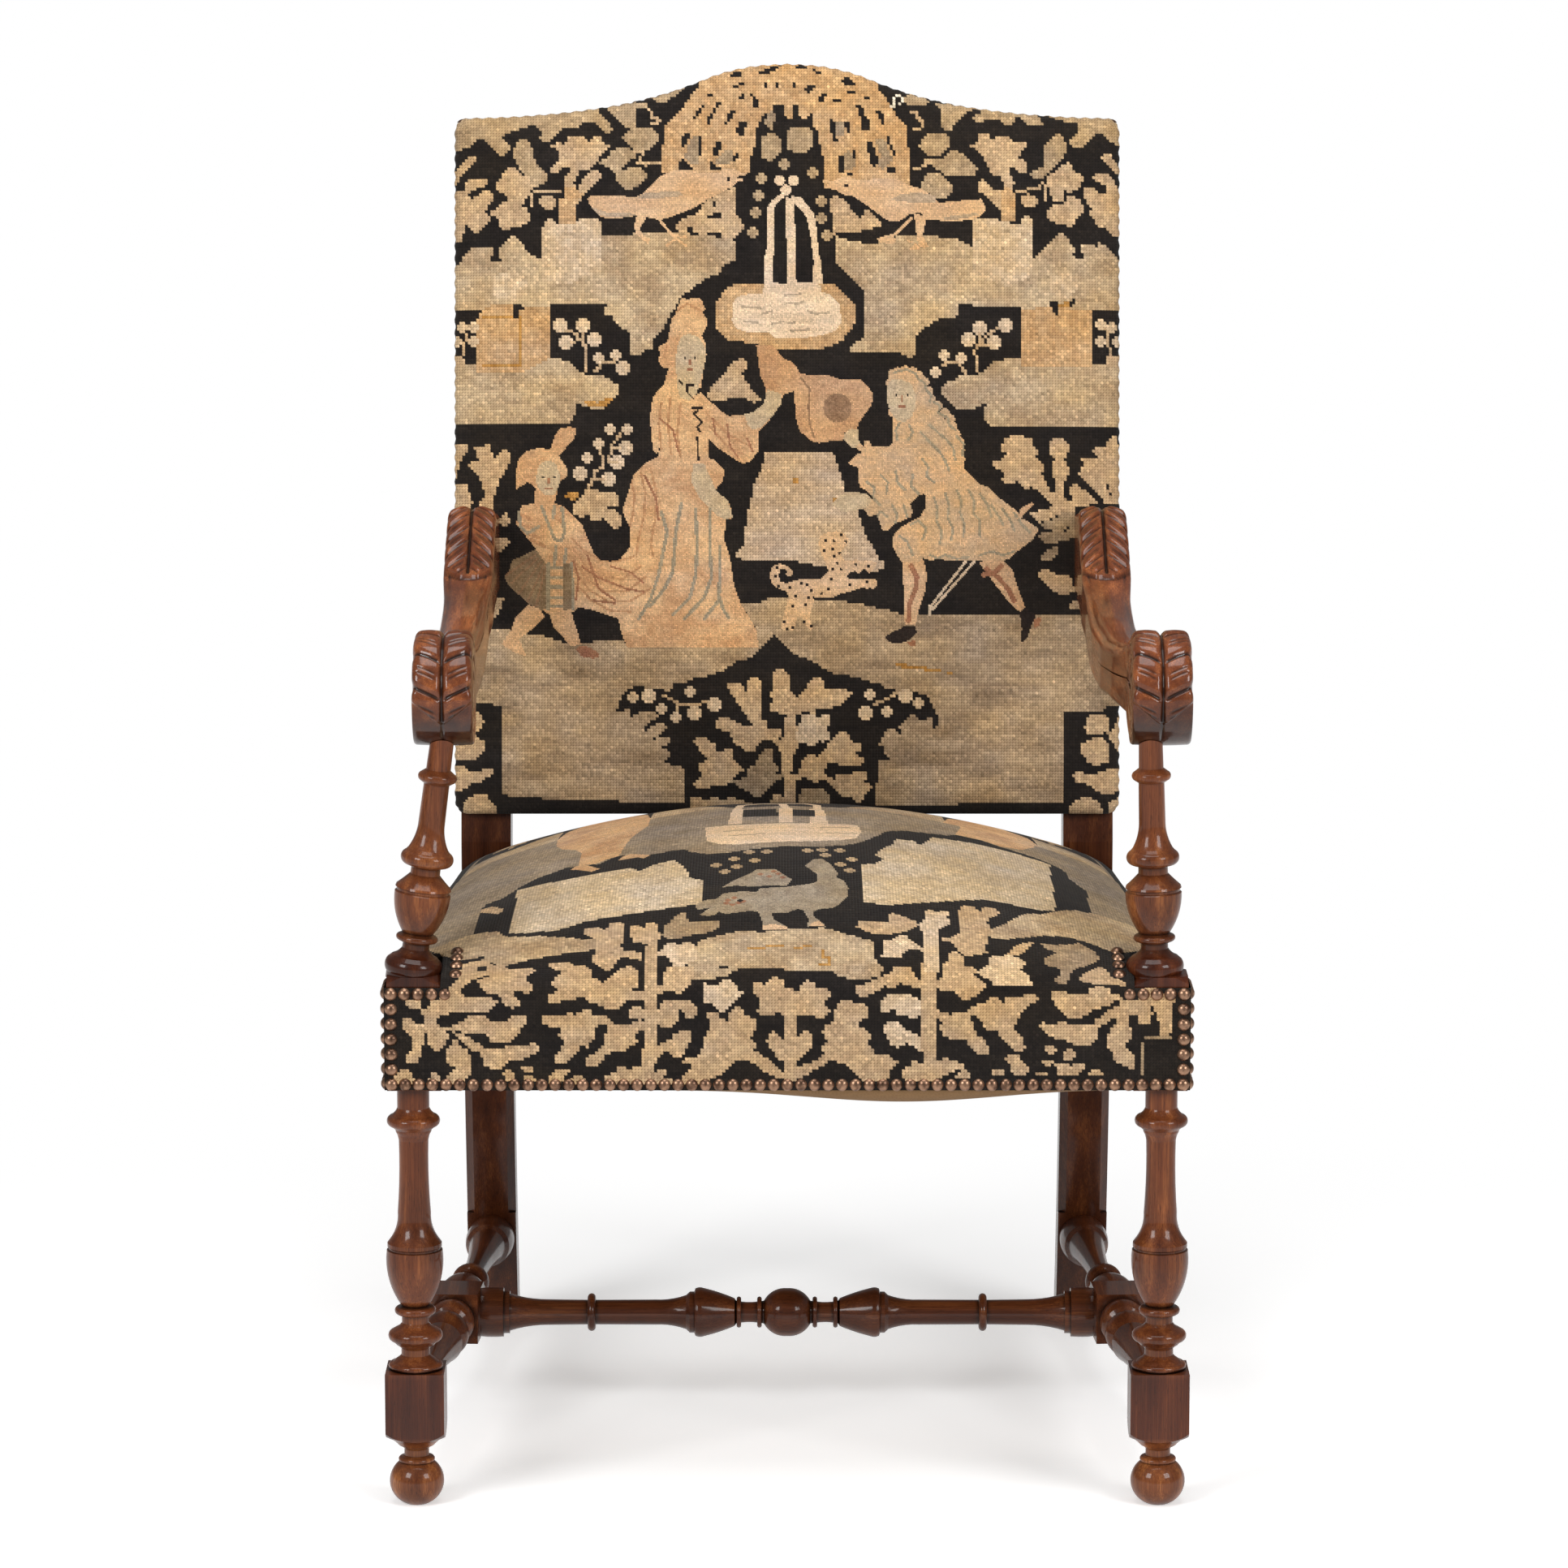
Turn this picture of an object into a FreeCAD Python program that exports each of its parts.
import FreeCAD, Part
import math
import os
from FreeCAD import Vector

# A fixed armchair: turned frame, scrolled arms, domed seat and tall arched back, both upholstered.
# Millimetres. The chair faces -Y, +Z is up, and +X is to the right of someone looking at its front.
# While it is built, the axes of the front legs stand at y = 0; the last lines centre it.

# Frame
leg_spacing = 632.0
leg_stock = 50.0
foot_height = 58.0
stretcher_block_height = 60.0
leg_turning_height = 246.0
seat_rail_height = 89.0
seat_depth = 510.0
post_width = 45.5
post_depth = 42.0
post_outer_half = 299.5
leg_sweep_radius = 1200.0
back_lean_degrees = 9.5
back_lean_start = 27.0
post_chamfer = 7.0
block_side_setback = 4.5
rail_thickness = 26.0
brace_width = 28.0
brace_height = 50.0
brace_gap = 6.0

# Joints in the wood
tenon_thickness = 9.0
tenon_length = 16.0
tenon_clearance = 0.3
pin_radius = 8.0
pin_length = 17.0
pin_clearance = 0.2
overrun = 5.0
join_tolerance = 0.000001

# Stretchers
stretcher_height = 94.0
stretcher_stock = 45.0
stretcher_block_length = 50.0
cross_stretcher_back = 281.5

# Arms. The two arm posts lean in by different amounts, so their scrolls stand differently too.
arm_post_height = 191.0
arm_post_stock = 49.5
arm_post_inset_right = 6.5
arm_post_inset_left = 0.5
arm_post_lean_degrees_right = 1.6
arm_post_lean_degrees_left = 7.7
arm_front_half_right = 312.5
arm_front_half_left = 287.5
arm_width = 39.0
arm_scroll_width = 49.5
arm_leaf_width = 43.5
arm_rear_outset = 6.25
arm_scroll_radius = 46.5
arm_scroll_back = 17.0
arm_thickness = 39.0
arm_shoulder_setback = 78.0
arm_shoulder_rise = 49.0
arm_end_drop = 13.0
arm_end_thickness = 70.0
arm_end_setback = 5.0
arm_gap = 0.5

# Upholstery of the seat
cover_thickness = 2.0
cover_clearance = 0.3
seat_crown = 95.0
lining_thickness = 1.0
webbing_thickness = 1.5
webbing_width = 50.0
webbing_hold = 8.0
hessian_thickness = 1.0
rail_top_drop = 22.0
seat_along_count = 5
seat_across_count = 6

# Upholstery of the back, measured along the leaning posts from where they start to lean
back_bottom = 26.0
back_side_top = 664.5
back_crest_rise = 50.0
back_bottom_outset = 5.5
back_top_outset = 6.0
back_edge_depth = 15.0
back_crown = 16.0
back_wadding = 3.0
back_rail_height = 60.0
back_along_count = 6
back_across_count = 7

# Nails
nail_diameter = 10.8
nail_height = 3.4
nail_pitch = 11.4
nail_edge_gap = 5.8
corner_nail_count = 5

# Turned profiles. A row is (place share, radius share) for a straight run to that point, or
# (place share, radius share, place share, radius share) for an arc through the first to the second.
# Places are shares of the turned length, radii are shares of half the square stock.
foot_shares = [
    (0.0, 0.40), (0.338, 0.928, 0.629, 0.584), (0.665, 0.62, 0.705, 0.52), (0.728, 0.424),
    (0.822, 0.424), (0.853, 0.484), (0.886, 0.62), (0.94, 0.74, 1.0, 0.92),
]
lower_shoulder_shares = [(0.0, 0.92), (0.06, 1.20, 0.16, 1.45)]
leg_turning_shares = [
    (0.0, 1.5), (0.0, 0.88), (0.009, 0.925, 0.024, 0.784), (0.035, 0.65),
    (0.042, 0.555, 0.050, 0.488), (0.072, 0.488), (0.080, 0.56, 0.0866, 0.66), (0.098, 0.76),
    (0.118, 0.925, 0.137, 0.80), (0.1455, 0.66), (0.154, 0.53, 0.164, 0.46), (0.190, 0.46),
    (0.194, 0.62), (0.2065, 0.70, 0.219, 0.62), (0.223, 0.456), (0.300, 0.835, 0.4215, 0.948),
    (0.4245, 0.88), (0.430, 0.88), (0.434, 0.925), (0.447, 0.925), (0.462, 0.816),
    (0.490, 0.665, 0.5537, 0.565), (0.680, 0.50, 0.809, 0.504), (0.8276, 0.548), (0.838, 0.60),
    (0.846, 0.62), (0.857, 0.74), (0.8748, 0.90, 0.8967, 0.744), (0.908, 0.625, 0.9228, 0.545),
    (1.0, 0.545), (1.0, 1.5),
]
cap_shares = [(0.0, 1.5), (0.0, 1.45), (0.4, 1.2, 1.0, 0.98)]
cap_height_share = 0.32
arm_post_shares = [
    (-0.03, 0.90), (0.0, 0.90), (0.033, 0.985, 0.060, 0.915), (0.0762, 0.776),
    (0.092, 0.58, 0.111, 0.465), (0.133, 0.46), (0.143, 0.60), (0.158, 0.715, 0.172, 0.62),
    (0.180, 0.525), (0.254, 0.82, 0.3606, 0.958), (0.368, 0.90), (0.378, 0.90), (0.382, 0.954),
    (0.392, 0.93), (0.420, 0.70, 0.446, 0.505), (0.474, 0.50), (0.485, 0.586),
    (0.520, 0.90, 0.547, 0.76), (0.560, 0.68), (0.600, 0.545, 0.680, 0.4525), (0.850, 0.436),
    (0.8637, 0.598), (0.881, 0.665, 0.899, 0.582), (0.915, 0.42), (1.06, 0.40),
]
side_front_shares = [
    (-0.02, 0.44), (0.06, 0.44), (0.06, 0.54), (0.085, 0.63, 0.11, 0.54), (0.13, 0.44),
    (0.40, 0.54, 0.64, 0.84), (0.66, 0.66), (0.70, 0.60), (0.73, 0.78), (0.775, 0.93, 0.82, 0.78),
    (0.85, 0.62), (0.89, 0.62), (0.90, 0.78), (0.94, 0.93, 0.98, 0.84), (1.0, 0.84), (1.0, 1.5),
]
side_rear_shares = [
    (0.0, 1.5), (0.0, 0.66), (0.10, 0.98, 0.21, 0.60), (0.25, 0.46), (0.30, 0.44), (0.30, 0.62),
    (0.33, 0.76, 0.36, 0.62), (0.36, 0.48), (0.62, 0.52, 0.84, 0.76), (0.86, 0.90),
    (0.925, 0.99, 1.0, 0.93), (1.03, 0.93),
]
cross_half_shares = [
    (0.0, 0.955), (0.040, 0.87, 0.076, 0.46), (0.083, 0.44), (0.083, 0.56),
    (0.0905, 0.62, 0.098, 0.56), (0.098, 0.42), (0.124, 0.40, 0.150, 0.42), (0.150, 0.56),
    (0.1575, 0.62, 0.165, 0.56), (0.165, 0.44), (0.172, 0.56), (0.225, 0.80, 0.278, 0.98),
    (0.289, 0.985, 0.300, 0.94), (0.304, 0.82), (0.318, 0.82), (0.330, 0.68),
    (0.370, 0.55, 0.430, 0.50), (0.625, 0.49), (0.625, 0.62), (0.638, 0.75, 0.651, 0.62),
    (0.651, 0.49), (0.780, 0.51), (0.850, 0.58, 0.905, 0.74), (0.905, 0.84), (0.925, 0.84),
    (0.925, 0.97), (0.962, 0.99, 1.0, 0.96), (1.02, 0.96),
]

# The rim of the arm in side view: places are shares of the run from scroll to shoulder,
# heights are shares of the rise from the scroll's top to the shoulder, or of the arm's thickness.
arm_top_shares = [
    (0.165, -0.39), (0.32, -0.46), (0.54, -0.36), (0.755, 0.06), (0.885, 0.61), (1.0, 1.0),
]
arm_under_shares = [(0.225, 0.66), (0.37, 0.65), (0.54, 0.80), (0.73, 1.22), (0.90, 1.60)]
scroll_top_degrees = 40.0
scroll_under_degrees = 125.0

# The arm in plan: (place share of the run, share of the flare to the scroll, width blend to the scroll)
arm_flank_shares = [
    (0.10, 0.90, 0.75), (0.20, 0.45, 0.15), (0.32, 0.18, 0.0), (0.50, 0.04, 0.0), (0.68, 0.0, 0.0),
]
arm_scroll_flat_share = 0.045
arm_leaf_shares = [(0.75, 0.0), (0.78, 0.9), (0.86, 1.0), (0.98, 0.9), (1.06, 0.0)]
arm_tenon_share = 0.35

# The dome of the seat: (place along the seat, rise of the crown), as shares of depth and crown
seat_dome_shares = [
    (0.0, 0.03), (0.018, 0.19), (0.06, 0.40), (0.13, 0.60), (0.24, 0.80), (0.37, 0.95),
    (0.49, 1.0), (0.63, 0.97), (0.77, 0.83), (0.90, 0.58), (1.0, 0.30),
]
dome_side_shares = [(0.935, 0.27), (0.80, 0.52)]

# The crest of the back, as shares of its half width and of the drop from crest to corner
crest_break_shares = (0.29, 0.385)
crest_hollow_shares = (0.60, 0.84)

# The crown of the back: (inset from the edge as share of the half width, share of the crown)
back_crown_shares = [(0.0, 0.0), (0.04, 0.30), (0.12, 0.58), (0.28, 0.84), (0.50, 0.96), (0.75, 1.0)]

# The part of a rail's height that its tenons take
tenon_low_share = 0.15
tenon_high_share = 0.70
brace_top_share = 0.92
chamfer_start_share = 1.26
chamfer_length_share = 0.9

# Worked out from the sizes above
leg_half = leg_spacing / 2
stock_half = leg_stock / 2
block_bottom = foot_height
block_top = block_bottom + stretcher_block_height
seat_bottom = block_top + leg_turning_height
seat_edge = seat_bottom + seat_rail_height
cap_height = stock_half * cap_height_share
arm_base = seat_edge + cap_height
arm_bottom = arm_base + arm_post_height
post_inner_half = post_outer_half - post_width
post_centre_half = post_outer_half - post_width / 2
post_rear = seat_depth + post_depth
back_half_bottom = post_outer_half + back_bottom_outset
back_half_top = post_outer_half + back_top_outset
back_crest = back_side_top + back_crest_rise
lean = math.radians(back_lean_degrees)
lean_start = seat_edge + back_lean_start
block_outer = leg_half + stock_half - block_side_setback
block_inner = leg_half - stock_half
front_face = cover_thickness - stock_half
front_rail_inner = front_face + rail_thickness
rear_rail_rear = post_rear - cover_thickness
rear_rail_front = rear_rail_rear - rail_thickness
rail_bottom = seat_bottom + lining_thickness
rail_top = seat_edge - rail_top_drop
rail_height = rail_top - rail_bottom
webbing_top = rail_top + webbing_thickness + webbing_thickness
stuffing_bottom = webbing_top + hessian_thickness
scroll_centre_z = arm_bottom + arm_scroll_radius
scroll_top = scroll_centre_z + arm_scroll_radius
arm_end_top = scroll_top + arm_shoulder_rise - arm_end_drop
arm_shoulder_back = seat_depth - arm_shoulder_setback
arm_end_back = seat_depth - arm_end_setback
arm_rear_half = post_centre_half + arm_rear_outset
frame_inset = cover_thickness + back_wadding


def mirrored(shape):
    """The same piece for the other side of the chair."""
    return shape.mirror(Vector(0, 0, 0), Vector(1, 0, 0))


def both(shape):
    """A piece and its mirror image."""
    return [shape, mirrored(shape)]


def box(x0, x1, y0, y1, z0, z1):
    """A box between two corners."""
    return Part.makeBox(x1 - x0, y1 - y0, z1 - z0, Vector(x0, y0, z0))


def prism(points, z0, z1):
    """An upright prism on a plan outline given as (x, y) points."""
    corners = [Vector(x, y, z0) for x, y in points]
    wire = Part.makePolygon(corners + corners[:1])
    return Part.Face(wire).extrude(Vector(0, 0, z1 - z0))


def outline_edges(rows, base, length, radius):
    """Lines and arcs of one stretch of a turned profile, and its first and last points."""
    first = None
    last = None
    edges = []
    for row in rows:
        end = Vector(row[-1] * radius, 0, base + row[-2] * length)
        if last is None:
            first = end
        elif len(row) == 2:
            edges.append(Part.LineSegment(last, end).toShape())
        else:
            middle = Vector(row[1] * radius, 0, base + row[0] * length)
            edges.append(Part.Arc(last, middle, end).toShape())
        last = end
    return edges, first, last


def turned(stretches):
    """A solid of revolution about Z from stretches (rows, base, length, radius), bottom to top."""
    edges = []
    last = None
    for rows, base, length, radius in stretches:
        more, first, end = outline_edges(rows, base, length, radius)
        if last is None:
            bottom = Vector(0, 0, first.z)
            edges.append(Part.LineSegment(bottom, first).toShape())
        elif not last.isEqual(first, join_tolerance):
            edges.append(Part.LineSegment(last, first).toShape())
        edges.extend(more)
        last = end
    top = Vector(0, 0, last.z)
    edges.append(Part.LineSegment(last, top).toShape())
    edges.append(Part.LineSegment(top, bottom).toShape())
    face = Part.Face(Part.Wire(edges))
    return face.revolve(Vector(0, 0, 0), Vector(0, 0, 1), 360)


def square_stock(half, z0, z1):
    """The square bar that a turning is cut from, about Z."""
    return box(-half, half, -half, half, z0, z1)


def along_y(shape):
    """Lay a piece that stands along Z down along +Y."""
    return shape.rotated(Vector(0, 0, 0), Vector(1, 0, 0), -90)


def leaned(shape):
    """Tip a piece drawn on upright posts back to the lean of the real posts."""
    return shape.rotated(Vector(0, seat_depth, lean_start), Vector(1, 0, 0), -back_lean_degrees)


def side_face(y, inset):
    """Half width of the seat at depth y, less an inset; straight beside the block, then tapering."""
    share = max(0, (y - stock_half) / (seat_depth - stock_half))
    outer = block_outer + cover_thickness
    return outer + (post_outer_half - outer) * share - inset


def sweep_front(z):
    """Depth of the front face of the rear leg at height z below the seat."""
    drop = seat_edge - z
    return seat_depth + leg_sweep_radius - math.sqrt(leg_sweep_radius ** 2 - drop ** 2)


def post_blank():
    """Rear leg and back post in one: swept back below the seat, leaning above it."""
    centre_y = seat_depth + leg_sweep_radius
    rear_radius = leg_sweep_radius - post_depth
    up = Vector(0, math.sin(lean), math.cos(lean))
    back = Vector(0, math.cos(lean), -math.sin(lean))
    length = back_side_top - frame_inset

    def swept(radius, z):
        return Vector(0, centre_y - math.sqrt(radius ** 2 - (seat_edge - z) ** 2), z)

    front = [swept(leg_sweep_radius, z) for z in (0, seat_edge / 2, seat_edge)]
    rear = [swept(rear_radius, z) for z in (0, seat_edge / 2, seat_edge)]
    front_turn = Vector(0, seat_depth, lean_start)
    rear_turn = Vector(0, post_rear, lean_start - post_depth * math.tan(lean / 2))
    front_tip = front_turn + up * length
    rear_tip = front_tip + back * post_depth
    edges = [
        Part.Arc(*front).toShape(),
        Part.makePolygon([front[2], front_turn, front_tip, rear_tip, rear_turn, rear[2]]),
        Part.Arc(rear[2], rear[1], rear[0]).toShape(),
        Part.LineSegment(rear[0], front[0]).toShape(),
    ]
    face = Part.Face(Part.Wire([edge for shape in edges for edge in shape.Edges]))
    return face.extrude(Vector(post_width, 0, 0)).translated(Vector(post_inner_half, 0, 0))


def chamfered_post(blank):
    """Stop chamfers along the front edges between the stretcher and the seat."""
    start = stretcher_height * chamfer_start_share
    stop = seat_bottom - post_chamfer
    reach = post_rear + leg_sweep_radius
    zone = box(0, post_outer_half + overrun, 0, reach, start, stop)
    low = blank.common(zone)
    edges = []
    for edge in low.Edges:
        middle = edge.CenterOfMass
        tall = edge.BoundBox.ZLength > (stop - start) * chamfer_length_share
        if tall and middle.y < sweep_front((start + stop) / 2) + post_depth / 2:
            edges.append(edge)
    return blank.cut(zone).fuse(low.makeChamfer(post_chamfer, edges)).removeSplitter()


def tenon_zone(low, high, grow):
    """Heights that a rail's tenon takes, grown by the clearance for its mortise."""
    height = high - low
    return low + height * tenon_low_share - grow, low + height * tenon_high_share + grow


def front_rail_tenon(grow):
    middle = front_face + rail_thickness / 2
    z0, z1 = tenon_zone(rail_bottom, rail_top, grow)
    half = tenon_thickness / 2 + grow
    reach = block_inner + tenon_length + grow
    return box(block_inner - overrun, reach, middle - half, middle + half, z0, z1)


def rear_rail_tenon(grow):
    middle = rear_rail_front + rail_thickness / 2
    z0, z1 = tenon_zone(rail_bottom, rail_top, grow)
    half = tenon_thickness / 2 + grow
    reach = post_inner_half + tenon_length + grow
    return box(post_inner_half - overrun, reach, middle - half, middle + half, z0, z1)


def side_rail_tenons(grow):
    z0, z1 = tenon_zone(rail_bottom, rail_top, grow)
    half = tenon_thickness / 2 + grow
    front_x = side_face(stock_half, cover_thickness) - rail_thickness / 2
    rear_x = side_face(seat_depth, cover_thickness) - rail_thickness / 2
    reach = tenon_length + grow
    front = box(front_x - half, front_x + half, stock_half - reach, stock_half + overrun, z0, z1)
    rear_end = sweep_front(rail_bottom) + reach
    rear = box(rear_x - half, rear_x + half, seat_depth - overrun, rear_end, z0, z1)
    return front.fuse(rear)


def back_rail_tenon(low, high, grow):
    z0, z1 = tenon_zone(low, high, grow)
    middle = seat_depth + rail_thickness / 2
    half = tenon_thickness / 2 + grow
    reach = post_inner_half + tenon_length + grow
    return leaned(box(post_inner_half - overrun, reach, middle - half, middle + half,
                      lean_start + z0, lean_start + z1))


def pin(start, length, grow):
    """A round pin about Z, with the clearance of its hole when grown."""
    return Part.makeCylinder(pin_radius + grow, length + grow, Vector(0, 0, start))


# Where the turned pieces stand, for the right side
side_run = sweep_front(stretcher_height)
side_angle = math.atan2(leg_half - post_centre_half, side_run)
side_length = side_run / math.cos(side_angle)
side_block_middle = cross_stretcher_back / math.cos(side_angle)
side_axis_at_cross = leg_half - cross_stretcher_back * math.tan(side_angle)
cross_half = side_axis_at_cross - stretcher_stock / 2
arm_post_places = {
    "right": (leg_half - arm_post_inset_right, arm_post_lean_degrees_right),
    "left": (leg_half - arm_post_inset_left, arm_post_lean_degrees_left),
}
arm_front_halves = {"right": arm_front_half_right, "left": arm_front_half_left}


def place_side(shape):
    """Lay a side stretcher from the front leg's axis towards the rear leg."""
    laid = along_y(shape).rotated(Vector(0, 0, 0), Vector(0, 0, 1), math.degrees(side_angle))
    return laid.translated(Vector(leg_half, 0, stretcher_height))


def place_arm_post(shape, hand):
    """Stand an arm post on the leg's cap, leaning inwards; both hands are drawn on the right."""
    x, lean_degrees = arm_post_places[hand]
    tipped = shape.rotated(Vector(0, 0, 0), Vector(0, 1, 0), -lean_degrees)
    return tipped.translated(Vector(x, 0, arm_base))


def side_pins(grow):
    front = pin(stock_half - pin_length - grow, pin_length + overrun, grow)
    rear = pin(side_length - overrun, pin_length + overrun, grow)
    return place_side(front.fuse(rear))


def cross_pin(grow):
    rod = pin(cross_half - overrun, pin_length + overrun, grow)
    laid = rod.rotated(Vector(0, 0, 0), Vector(0, 1, 0), 90)
    return laid.translated(Vector(0, cross_stretcher_back, stretcher_height))


def arm_post_pins(hand, grow):
    low = pin(-pin_length - grow, pin_length + overrun, grow)
    high = pin(arm_post_height - overrun, pin_length + overrun + overrun, grow)
    return place_arm_post(low.fuse(high), hand)


def front_leg():
    """Ball foot, stretcher block, turned leg and seat block with its turned cap, from one square bar."""
    body = turned([
        (foot_shares, 0, foot_height, stock_half),
        (lower_shoulder_shares, block_bottom, stretcher_block_height, stock_half),
        (leg_turning_shares, block_top, leg_turning_height, stock_half),
        (cap_shares, seat_edge, cap_height, stock_half),
    ])
    leg = body.common(square_stock(stock_half, 0, arm_base)).translated(Vector(leg_half, 0, 0))
    far = leg_half + leg_stock
    leg = leg.cut(box(block_outer, far, -leg_stock, leg_stock, seat_bottom, arm_base))
    return leg.cut(box(0, far, -leg_stock, front_face, seat_bottom, arm_base))


def arm_post_blank(hand):
    """Turned arm post, long enough at both ends to be trimmed to what it meets."""
    body = turned([(arm_post_shares, 0, arm_post_height, arm_post_stock / 2)])
    return place_arm_post(body, hand)


def side_stretcher_blank():
    """Side stretcher with a square block in the middle for the cross stretcher."""
    half = stretcher_stock / 2
    block_start = side_block_middle - stretcher_block_length / 2
    block_end = side_block_middle + stretcher_block_length / 2
    body = turned([
        (side_front_shares, stock_half, block_start - stock_half, half),
        (side_rear_shares, block_end, side_length - block_end, half),
    ])
    return place_side(body.common(square_stock(half, 0, side_length + overrun)))


def cross_stretcher_blank():
    """Turned cross stretcher, the same on both sides of its centre ball."""
    half = turned([(cross_half_shares, 0, cross_half, stretcher_stock / 2)])
    laid = half.rotated(Vector(0, 0, 0), Vector(0, 1, 0), 90)
    whole = laid.fuse(mirrored(laid)).removeSplitter()
    return whole.translated(Vector(0, cross_stretcher_back, stretcher_height))


def arm_profile(far):
    """Side outline of an arm as a face on x = 0: scroll, dip, shoulder and deep rear end."""
    run = arm_shoulder_back - arm_scroll_back

    def on_scroll(degrees):
        angle = math.radians(degrees)
        y = arm_scroll_back + arm_scroll_radius * math.sin(angle)
        return Vector(0, y, scroll_centre_z + arm_scroll_radius * math.cos(angle))

    def top_point(shares):
        return Vector(0, arm_scroll_back + run * shares[0], scroll_top + arm_shoulder_rise * shares[1])

    def under_point(shares):
        return Vector(0, arm_scroll_back + run * shares[0], arm_bottom + arm_thickness * shares[1])

    top_end = Vector(0, arm_end_back, arm_end_top)
    under_end = Vector(0, arm_end_back, arm_end_top - arm_end_thickness)
    corners = [top_end, Vector(0, far, top_end.z), Vector(0, far, under_end.z), under_end]
    top = Part.BSplineCurve()
    top.interpolate([on_scroll(scroll_top_degrees)] + [top_point(row) for row in arm_top_shares] + [top_end])
    under = Part.BSplineCurve()
    low_points = [under_point(row) for row in arm_under_shares]
    under.interpolate([on_scroll(scroll_under_degrees)] + low_points + [under_end])
    front = on_scroll((scroll_top_degrees + scroll_under_degrees) / 2 + 180)
    scroll = Part.Arc(on_scroll(scroll_top_degrees), front, on_scroll(scroll_under_degrees)).toShape()
    edges = [scroll, top.toShape(), under.toShape()] + Part.makePolygon(corners).Edges
    return Part.Face(Part.Wire(Part.__sortEdges__(edges)))


def arm_plan(front_half, far):
    """Plan of an arm as a face on z = 0: wide scroll, narrower flank that comes in, and wider leaf."""
    run = arm_shoulder_back - arm_scroll_back
    flare = front_half - arm_rear_half
    front_y = arm_scroll_back - arm_scroll_radius - overrun
    stations = [(arm_scroll_back + run * arm_scroll_flat_share, front_half, arm_scroll_width)]
    for place_share, flare_share, width_share in arm_flank_shares:
        width = arm_width + (arm_scroll_width - arm_width) * width_share
        stations.append((arm_scroll_back + run * place_share, arm_rear_half + flare * flare_share, width))
    for place_share, width_share in arm_leaf_shares:
        width = arm_width + (arm_leaf_width - arm_width) * width_share
        stations.append((arm_scroll_back + run * place_share, arm_rear_half, width))
    edges = []
    for sign in (-1, 1):
        points = [Vector(x + sign * width / 2, y, 0) for y, x, width in stations]
        flank = Part.BSplineCurve()
        flank.interpolate(points)
        front = Vector(points[0].x, front_y, 0)
        edges += [flank.toShape(), Part.LineSegment(front, points[0]).toShape()]
        edges.append(Part.LineSegment(points[-1], Vector(points[-1].x, far, 0)).toShape())
    half = arm_scroll_width / 2
    front = [Vector(front_half - half, front_y, 0), Vector(front_half + half, front_y, 0)]
    half = arm_width / 2
    rear = [Vector(arm_rear_half - half, far, 0), Vector(arm_rear_half + half, far, 0)]
    edges += [Part.LineSegment(*front).toShape(), Part.LineSegment(*rear).toShape()]
    return Part.Face(Part.Wire(Part.__sortEdges__(edges)))


def arm_blank(hand):
    """Arm cut to its side outline and to its plan, long enough at the rear to be trimmed to the post."""
    far = seat_depth + (arm_end_top - lean_start) * math.tan(lean) + overrun
    side = arm_profile(far).extrude(Vector(leg_spacing, 0, 0))
    plan = arm_plan(arm_front_halves[hand], far).extrude(Vector(0, 0, arm_end_top + seat_depth))
    return side.common(plan)


def arm_tenon(grow):
    """Tenon on the rear end of an arm, into the front of the back post."""
    middle = arm_end_top - arm_end_thickness / 2
    reach = arm_end_thickness * arm_tenon_share + grow
    face_y = seat_depth + (middle - lean_start) * math.tan(lean)
    half = tenon_thickness / 2 + grow
    return box(arm_rear_half - half, arm_rear_half + half, face_y - overrun,
               face_y + tenon_length + overrun + grow, middle - reach, middle + reach)


def arm_opening():
    """Room for the rear end of an arm through the upholstery of the back."""
    half = arm_width / 2 + arm_gap
    far = post_rear + post_depth + post_depth
    bottom = arm_end_top - arm_end_thickness - arm_gap
    return box(arm_rear_half - half, arm_rear_half + half, arm_end_back, far, bottom, arm_end_top + arm_gap)


def side_rail_blank():
    """Side rail, from the front leg to the back post, tapering in towards the rear."""
    far = seat_depth + post_depth / 2
    points = []
    for y in (stock_half, far):
        points.append((side_face(y, cover_thickness), y))
    for y in (far, stock_half):
        points.append((side_face(y, cover_thickness + rail_thickness), y))
    return prism(points, rail_bottom, rail_top)


def back_outline(inset, y):
    """Closed outline of the back at depth y: straight sides and a crest of three arcs."""
    low = lean_start + back_bottom + inset
    side = lean_start + back_side_top - inset
    crest = lean_start + back_crest - inset
    bottom_half = back_half_bottom - inset
    top_half = back_half_top - inset
    drop = crest - side

    def crest_point(shares, sign):
        return Vector(sign * shares[0] * top_half, y, crest - shares[1] * drop)

    corners = [Vector(-bottom_half, y, low), Vector(bottom_half, y, low)]
    right = Vector(top_half, y, side)
    left = Vector(-top_half, y, side)
    break_right = crest_point(crest_break_shares, 1)
    break_left = crest_point(crest_break_shares, -1)
    edges = [
        Part.LineSegment(corners[0], corners[1]).toShape(),
        Part.LineSegment(corners[1], right).toShape(),
        Part.Arc(right, crest_point(crest_hollow_shares, 1), break_right).toShape(),
        Part.Arc(break_right, Vector(0, y, crest), break_left).toShape(),
        Part.Arc(break_left, crest_point(crest_hollow_shares, -1), left).toShape(),
        Part.LineSegment(left, corners[0]).toShape(),
    ]
    return Part.Wire(edges)


def back_slab(inset, front, rear):
    """Flat slab with the outline of the back."""
    face = Part.Face(back_outline(inset, seat_depth + front))
    return face.extrude(Vector(0, rear - front, 0))


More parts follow.
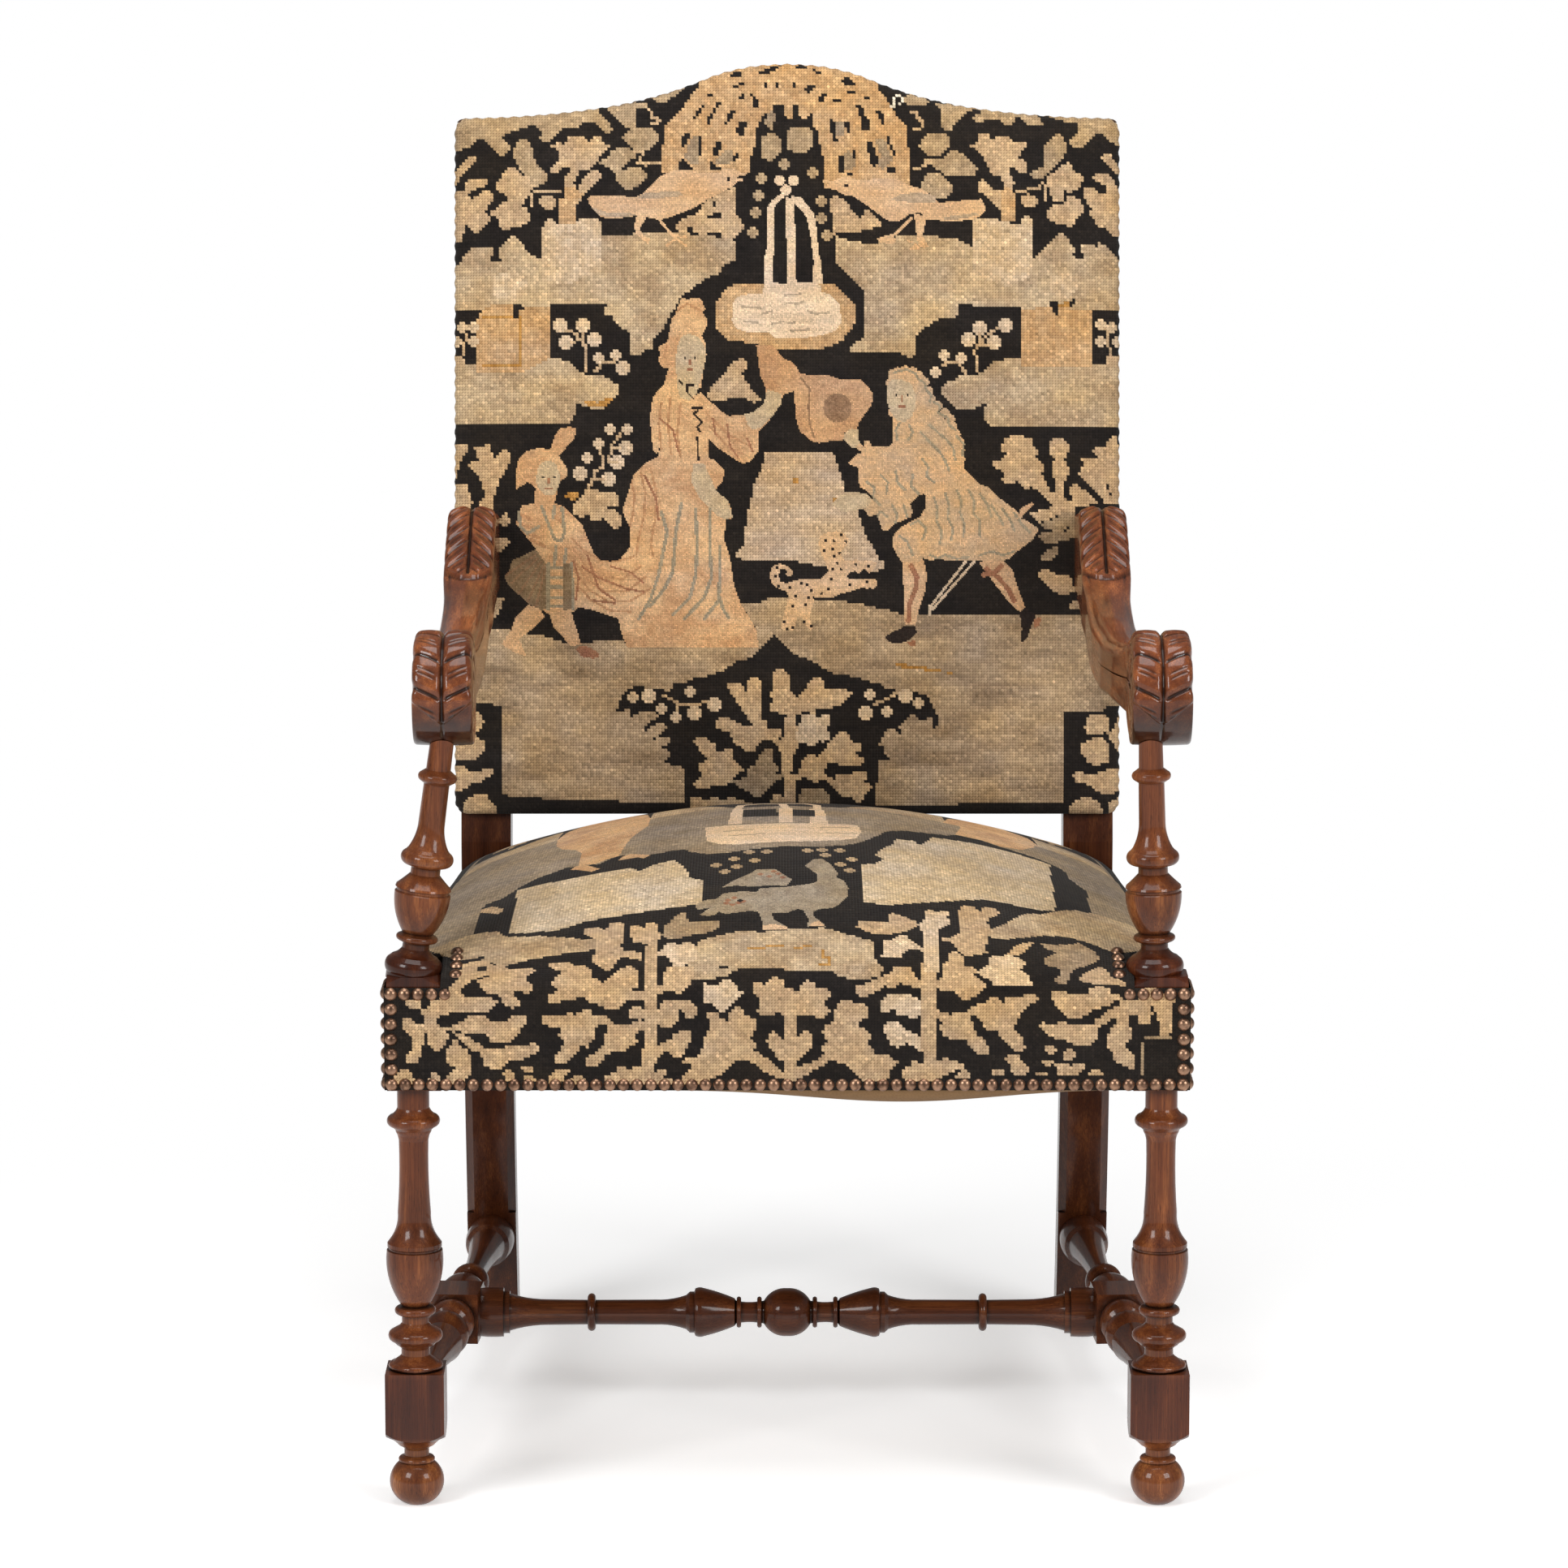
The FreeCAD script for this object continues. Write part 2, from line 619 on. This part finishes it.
def back_form(inset, rear):
    """The cushioned back: straight edges, then a crown that rises towards the middle."""
    edge = -back_edge_depth + inset
    wires = []
    for inset_share, crown_share in back_crown_shares:
        depth = edge - back_crown * crown_share
        wires.append(back_outline(inset + inset_share * back_half_bottom, seat_depth + depth))
    crown = Part.makeLoft(wires, True, True)
    return back_slab(inset, edge, rear).fuse(crown).removeSplitter()


def seat_plan(inset, z0, z1):
    """Prism on the seat's plan: straight beside the front blocks, then tapering, square at the rear."""
    ys = [inset - stock_half, stock_half, seat_depth, post_rear - inset]
    widths = [side_face(min(y, seat_depth), inset) for y in ys]
    right = list(zip(widths, ys))
    left = [(-x, y) for x, y in reversed(right)]
    return prism(right + left, z0, z1)


def dome_section(y, half, low, edge, crown):
    """Section across the domed seat: upright sides, a shoulder arc each side and one crown arc."""
    (mid_x, mid_rise), (top_x, top_rise) = dome_side_shares

    def at(share_x, share_rise):
        return Vector(share_x * half, y, edge + share_rise * (crown - edge))

    corners = [Vector(-half, y, low), Vector(half, y, low)]
    edges = [
        Part.LineSegment(corners[0], corners[1]).toShape(),
        Part.LineSegment(corners[1], at(1, 0)).toShape(),
        Part.Arc(at(1, 0), at(mid_x, mid_rise), at(top_x, top_rise)).toShape(),
        Part.Arc(at(top_x, top_rise), at(0, 1), at(-top_x, top_rise)).toShape(),
        Part.Arc(at(-top_x, top_rise), at(-mid_x, mid_rise), at(-1, 0)).toShape(),
        Part.LineSegment(at(-1, 0), corners[0]).toShape(),
    ]
    return Part.Wire(edges)


def seat_form(inset, low):
    """The domed seat, less an inset, cut round the front blocks and the back posts."""
    start = -stock_half + inset
    length = post_rear - inset - start
    wires = []
    for place_share, rise_share in seat_dome_shares:
        y = start + length * place_share
        half = side_face(min(y, seat_depth), inset) + cover_thickness / 2
        crown = seat_edge + seat_crown * rise_share - inset
        wires.append(dome_section(y, half, low - overrun, seat_edge - inset, crown))
    dome = Part.makeLoft(wires, True, False)
    form = seat_plan(inset, low, seat_edge + seat_crown + overrun).common(dome)
    far = leg_half + leg_stock
    high = seat_edge + seat_crown + overrun
    gap = cover_clearance + inset
    block = box(block_inner - gap, far, -leg_stock, stock_half + gap, seat_edge, high)
    post = box(post_inner_half - gap, far, seat_depth - gap, post_rear + overrun, low - overrun, high)
    return form.cut(both(block) + both(post))


def strip_places(low, high, count):
    """Middles of evenly spaced strips between two edges."""
    step = (high - low) / count
    return [low + step * (number + 0.5) for number in range(count)]


def seat_webbing_along():
    """Strips from front rail to rear rail, on top of the rails."""
    half = webbing_width / 2
    strips = []
    for x in strip_places(-post_inner_half, post_inner_half, seat_along_count):
        strips.append(box(x - half, x + half, front_face + webbing_hold, rear_rail_rear - webbing_hold,
                          rail_top, rail_top + webbing_thickness))
    return strips


def seat_webbing_across():
    """Strips from side rail to side rail, over the first layer."""
    half = webbing_width / 2
    strips = []
    low = rail_top + webbing_thickness
    for y in strip_places(stock_half, seat_depth, seat_across_count):
        reach = side_face(y + half, cover_thickness + webbing_hold)
        strips.append(box(-reach, reach, y - half, y + half, low, low + webbing_thickness))
    return strips


def corner_braces():
    """Four diagonal braces glued inside the rails, behind the blocks and before the posts."""
    top = rail_bottom + rail_height * brace_top_share
    side_x = side_face(stock_half, cover_thickness + rail_thickness)
    reach = side_x - block_inner + stock_half - front_rail_inner + brace_gap
    front_corner = (side_x, front_rail_inner, 1, reach)
    side_x = side_face(seat_depth, cover_thickness + rail_thickness)
    reach = side_x - post_inner_half + rear_rail_front - seat_depth + brace_gap
    rear_corner = (side_x, rear_rail_front, -1, reach)
    braces = []
    for x, y, sign, near in (front_corner, rear_corner):
        far = near + brace_width * math.sqrt(2)
        sunk = rail_thickness / 2
        points = [(x - near, y), (x - far, y)]
        points += [(x + sunk, y + sign * (far + sunk)), (x + sunk, y + sign * (near + sunk))]
        braces.append(prism(points, top - brace_height, top))
    return braces


def dome_nail():
    """A nail's domed head, flat side on z = 0."""
    radius = nail_diameter / 2
    edge = Vector(radius, 0, 0)
    top = Vector(0, 0, nail_height)
    sphere = (radius ** 2 + nail_height ** 2) / (2 * nail_height)
    angle = math.asin(radius / sphere) / 2
    middle = Vector(sphere * math.sin(angle), 0, nail_height - sphere * (1 - math.cos(angle)))
    edges = [
        Part.LineSegment(Vector(0, 0, 0), edge).toShape(),
        Part.Arc(edge, middle, top).toShape(),
        Part.LineSegment(top, Vector(0, 0, 0)).toShape(),
    ]
    return Part.Face(Part.Wire(edges)).revolve(Vector(0, 0, 0), Vector(0, 0, 1), 360)


nail_head = dome_nail()


def nail(point, direction):
    """One nail head seated at a point and facing a direction."""
    turn = FreeCAD.Rotation(Vector(0, 0, 1), direction)
    head = nail_head.copy()
    head.Placement = FreeCAD.Placement(point, turn)
    return head


def nail_row(start, end, direction, pitch=nail_pitch):
    """Nails evenly spaced from start to end, both included, as near the pitch as fits."""
    count = max(1, math.floor((end - start).Length / pitch))
    return [nail(start + (end - start) * (number / count), direction) for number in range(count + 1)]


def seat_front_nails():
    """A row along the bottom, a column up each corner and a short row along the top of each block."""
    face_y = -stock_half
    out = Vector(0, -1, 0)
    edge_x = block_outer + cover_thickness - nail_edge_gap
    low = seat_bottom + nail_edge_gap
    high = seat_edge - nail_edge_gap
    nails = nail_row(Vector(-edge_x, face_y, low), Vector(edge_x, face_y, low), out)
    step = (high - low) / math.floor((high - low) / nail_pitch)
    for sign in (-1, 1):
        nails += nail_row(Vector(sign * edge_x, face_y, low + step), Vector(sign * edge_x, face_y, high), out)
        for number in range(1, corner_nail_count):
            nails.append(nail(Vector(sign * (edge_x - number * nail_pitch), face_y, high), out))
    return nails


def seat_side_nails():
    """Right side: a row along the bottom, a column at the front corner and a short top row."""
    low = seat_bottom + nail_edge_gap
    high = seat_edge - nail_edge_gap
    first_y = -stock_half + nail_edge_gap
    block_x = side_face(0, 0)
    out = Vector(1, 0, 0)
    last_y = stock_half - nail_edge_gap
    nails = nail_row(Vector(block_x, first_y, low), Vector(block_x, last_y, low), out)
    step = (high - low) / math.floor((high - low) / nail_pitch)
    nails += nail_row(Vector(block_x, first_y, low + step), Vector(block_x, first_y, high), out)
    nails += nail_row(Vector(block_x, first_y + nail_pitch, high), Vector(block_x, last_y, high), out)
    start_y = stock_half + nail_edge_gap
    end_y = seat_depth - nail_edge_gap
    taper = side_face(seat_depth, 0) - side_face(stock_half, 0)
    out = Vector(seat_depth - stock_half, -taper, 0)
    start = Vector(side_face(start_y, 0), start_y, low)
    nails += nail_row(start, Vector(side_face(end_y, 0), end_y, low), out)
    return nails


def seat_rear_nails():
    """A row along the bottom of the rear face, between the posts."""
    low = seat_bottom + nail_edge_gap
    edge_x = post_inner_half - nail_diameter
    return nail_row(Vector(-edge_x, post_rear, low), Vector(edge_x, post_rear, low), Vector(0, 1, 0))


def seat_post_nails(cover):
    """Short rows on top of the cover, beside the block of each arm post."""
    nails = []
    post_inner = min(x for x, lean_degrees in arm_post_places.values()) - arm_post_stock / 2
    x = min(block_inner, post_inner) - nail_edge_gap - cover_clearance

    def cover_top(y):
        ray = Part.LineSegment(Vector(x, y, seat_edge), Vector(x, y, seat_edge + seat_crown)).toShape()
        return cover.common(ray).BoundBox.ZMax

    for number in range(corner_nail_count - 1):
        y = -stock_half + nail_diameter + number * nail_pitch
        top = cover_top(y)
        rise = cover_top(y + nail_pitch / 2) - top
        nails += both(nail(Vector(x, y, top + cover_clearance), Vector(0, -rise, nail_pitch / 2)))
    return nails


def back_edge_nails():
    """Nails along the top edge of the back, and down its sides and along its bottom on the rear face."""
    rear = seat_depth + post_depth
    top_y = rear - nail_edge_gap
    wire = back_outline(0, top_y)
    crest = [edge for edge in wire.Edges if edge.Curve.TypeId == "Part::GeomCircle"]
    path = Part.Wire(Part.__sortEdges__(crest))
    count = math.floor(path.Length / nail_pitch)
    points = path.discretize(Number=count * 2 + 1)
    nails = []
    for number in range(count):
        before, middle, after = points[2 * number: 2 * number + 3]
        along = after - before
        out = Vector(-along.z, 0, along.x) if along.x > 0 else Vector(along.z, 0, -along.x)
        nails.append(nail(middle + out * (cover_clearance / out.Length), out))
    face_y = rear + lining_thickness
    low = lean_start + back_bottom + nail_edge_gap
    high = lean_start + back_side_top - nail_edge_gap
    for sign in (-1, 1):
        start = Vector(sign * (back_half_bottom - nail_edge_gap), face_y, low)
        end = Vector(sign * (back_half_top - nail_edge_gap), face_y, high)
        nails += nail_row(start, end, Vector(0, 1, 0))
    edge_x = back_half_bottom - nail_edge_gap - nail_pitch
    nails += nail_row(Vector(-edge_x, face_y, low), Vector(edge_x, face_y, low), Vector(0, 1, 0))
    return [leaned(item) for item in nails]


def build():
    """Every piece of the chair, by node name."""
    pieces = {}
    leg = front_leg()
    post = post_blank()
    rail_joints = [front_rail_tenon(tenon_clearance), side_rail_tenons(tenon_clearance)]
    leg_with_joints = leg.cut(rail_joints + [side_pins(pin_clearance)])

    low_rail = (back_bottom + frame_inset, back_bottom + frame_inset + back_rail_height)
    high_rail = (back_side_top - frame_inset - back_rail_height, back_side_top - frame_inset)
    post_right = chamfered_post(post).cut([
        side_pins(pin_clearance),
        side_rail_tenons(tenon_clearance),
        rear_rail_tenon(tenon_clearance),
        back_rail_tenon(*low_rail, tenon_clearance),
        back_rail_tenon(*high_rail, tenon_clearance),
        arm_tenon(tenon_clearance),
    ])

    side = side_stretcher_blank()
    side_right = side.cut([leg, post]).fuse(side_pins(0)).removeSplitter().cut(cross_pin(pin_clearance))
    cross = cross_stretcher_blank().cut(both(side)).fuse(both(cross_pin(0))).removeSplitter()

    front_rail = box(-block_inner, block_inner, front_face, front_rail_inner, rail_bottom, rail_top)
    front_rail = front_rail.fuse(both(front_rail_tenon(0))).removeSplitter()
    rear_rail = box(-post_inner_half, post_inner_half, rear_rail_front, rear_rail_rear, rail_bottom, rail_top)
    rear_rail = rear_rail.fuse(both(rear_rail_tenon(0))).removeSplitter()
    side_rail = side_rail_blank().cut([post, leg])
    side_tenons = side_rail_tenons(0)
    side_rail_right = side_rail.fuse(side_tenons).removeSplitter()

    pairs = {"back_post": post_right, "side_stretcher": side_right, "side_rail": side_rail_right}
    for name, shape in pairs.items():
        pieces[name + "_right"] = shape
        pieces[name + "_left"] = mirrored(shape)
    for hand in ("right", "left"):
        arm = arm_blank(hand)
        holes = arm_post_pins(hand, pin_clearance)
        arm_post = arm_post_blank(hand).cut([arm, leg]).fuse(arm_post_pins(hand, 0)).removeSplitter()
        whole_arm = arm.cut(post).fuse(arm_tenon(0)).removeSplitter().cut(holes)
        own = {"front_leg": leg_with_joints.cut(holes), "arm_post": arm_post, "arm": whole_arm}
        for name, shape in own.items():
            pieces[name + "_" + hand] = shape if hand == "right" else mirrored(shape)
    pieces["cross_stretcher"] = cross
    pieces["front_rail"] = front_rail
    pieces["rear_rail"] = rear_rail
    wood_in_corners = both(side_rail_blank()) + both(post) + both(leg)
    braces = [brace.cut(wood_in_corners) for brace in corner_braces()]
    pieces["corner_braces"] = Part.makeCompound([part for brace in braces for part in both(brace)])

    # The frame of the back, drawn upright and then leaned
    frame = back_slab(frame_inset, 0, rail_thickness)
    between = box(-post_inner_half, post_inner_half, seat_depth - overrun, post_rear,
                  lean_start + high_rail[0], lean_start + back_crest)
    top_rail = leaned(frame.common(between)).fuse(both(back_rail_tenon(*high_rail, 0)))
    pieces["back_top_rail"] = top_rail.removeSplitter()
    between = box(-post_inner_half, post_inner_half, seat_depth - overrun, post_rear,
                  lean_start + low_rail[0], lean_start + low_rail[1])
    bottom_rail = leaned(frame.common(between)).fuse(both(back_rail_tenon(*low_rail, 0)))
    pieces["back_bottom_rail"] = bottom_rail.removeSplitter()

    # Upholstery of the seat
    cover = seat_form(0, seat_bottom).cut(seat_form(cover_thickness, seat_bottom - overrun))
    far = leg_half + leg_stock
    gap = cover_clearance + cover_thickness
    under_posts = box(post_inner_half - gap, far, seat_depth - gap, post_rear + overrun,
                      seat_bottom - overrun, stuffing_bottom)
    pieces["seat_cover"] = cover.cut(both(under_posts))
    block_room = box(block_inner - cover_clearance, far, -leg_stock, stock_half + cover_clearance,
                     seat_bottom, seat_edge)
    pieces["seat_stuffing"] = seat_form(gap, stuffing_bottom).cut(both(block_room))
    pieces["seat_webbing_long"] = Part.makeCompound(seat_webbing_along())
    pieces["seat_webbing_cross"] = Part.makeCompound(seat_webbing_across())
    post_room = box(post_inner_half - cover_clearance, far, seat_depth - cover_clearance,
                    post_rear + overrun, seat_bottom - overrun, seat_edge)
    hessian = seat_plan(cover_thickness + webbing_hold, webbing_top, stuffing_bottom)
    pieces["seat_hessian"] = hessian.cut(both(block_room) + both(post_room))
    lining = seat_plan(gap, seat_bottom, rail_bottom)
    pieces["seat_dust_cover"] = lining.cut(both(block_room) + both(post_room))

    # Upholstery of the back
    openings = both(arm_opening())
    rear_open = post_depth + overrun
    cover = leaned(back_form(0, post_depth).cut(back_form(cover_thickness, rear_open)))
    pieces["back_cover"] = cover.cut(both(post) + openings)
    webbing_depth = webbing_thickness + webbing_thickness
    frame_room = back_slab(frame_inset - cover_clearance, -webbing_depth, rear_open)
    filled = back_form(gap, post_depth).cut(frame_room)
    pieces["back_stuffing"] = leaned(filled).cut(both(post) + openings)
    half = webbing_width / 2
    reach = post_inner_half + webbing_hold
    low = lean_start + low_rail[0] + webbing_hold
    high = lean_start + high_rail[1] - webbing_hold
    across = []
    for z in strip_places(low, high, back_across_count):
        front = seat_depth - webbing_thickness
        across.append(box(-reach, reach, front, seat_depth, z - half, z + half))
    across = [leaned(strip).cut(openings) for strip in across]
    pieces["back_webbing_cross"] = Part.makeCompound(across)
    along = []
    for x in strip_places(-post_inner_half, post_inner_half, back_along_count):
        front = seat_depth - webbing_depth
        along.append(box(x - half, x + half, front, seat_depth - webbing_thickness, low, high))
    pieces["back_webbing_long"] = Part.makeCompound([leaned(strip) for strip in along])
    pieces["back_lining"] = leaned(back_slab(0, post_depth, post_depth + lining_thickness))

    # Nails
    pieces["seat_nails_front"] = Part.makeCompound(seat_front_nails())
    side_nails = seat_side_nails()
    pieces["seat_nails_right"] = Part.makeCompound(side_nails)
    pieces["seat_nails_left"] = Part.makeCompound([mirrored(item) for item in side_nails])
    pieces["seat_nails_rear"] = Part.makeCompound(seat_rear_nails())
    pieces["seat_nails_posts"] = Part.makeCompound(seat_post_nails(pieces["seat_cover"]))
    pieces["back_nails"] = Part.makeCompound(back_edge_nails())
    return pieces


pieces = build()
bounds = Part.makeCompound(list(pieces.values())).optimalBoundingBox(False)
centre = Vector(-(bounds.XMin + bounds.XMax) / 2, -(bounds.YMin + bounds.YMax) / 2, -bounds.ZMin)
os.makedirs("parts", exist_ok=True)
for name, shape in pieces.items():
    shape.translated(centre).exportStep("parts/" + name + ".step")
print("size", bounds.XLength, bounds.YLength, bounds.ZLength, "moved by", centre)
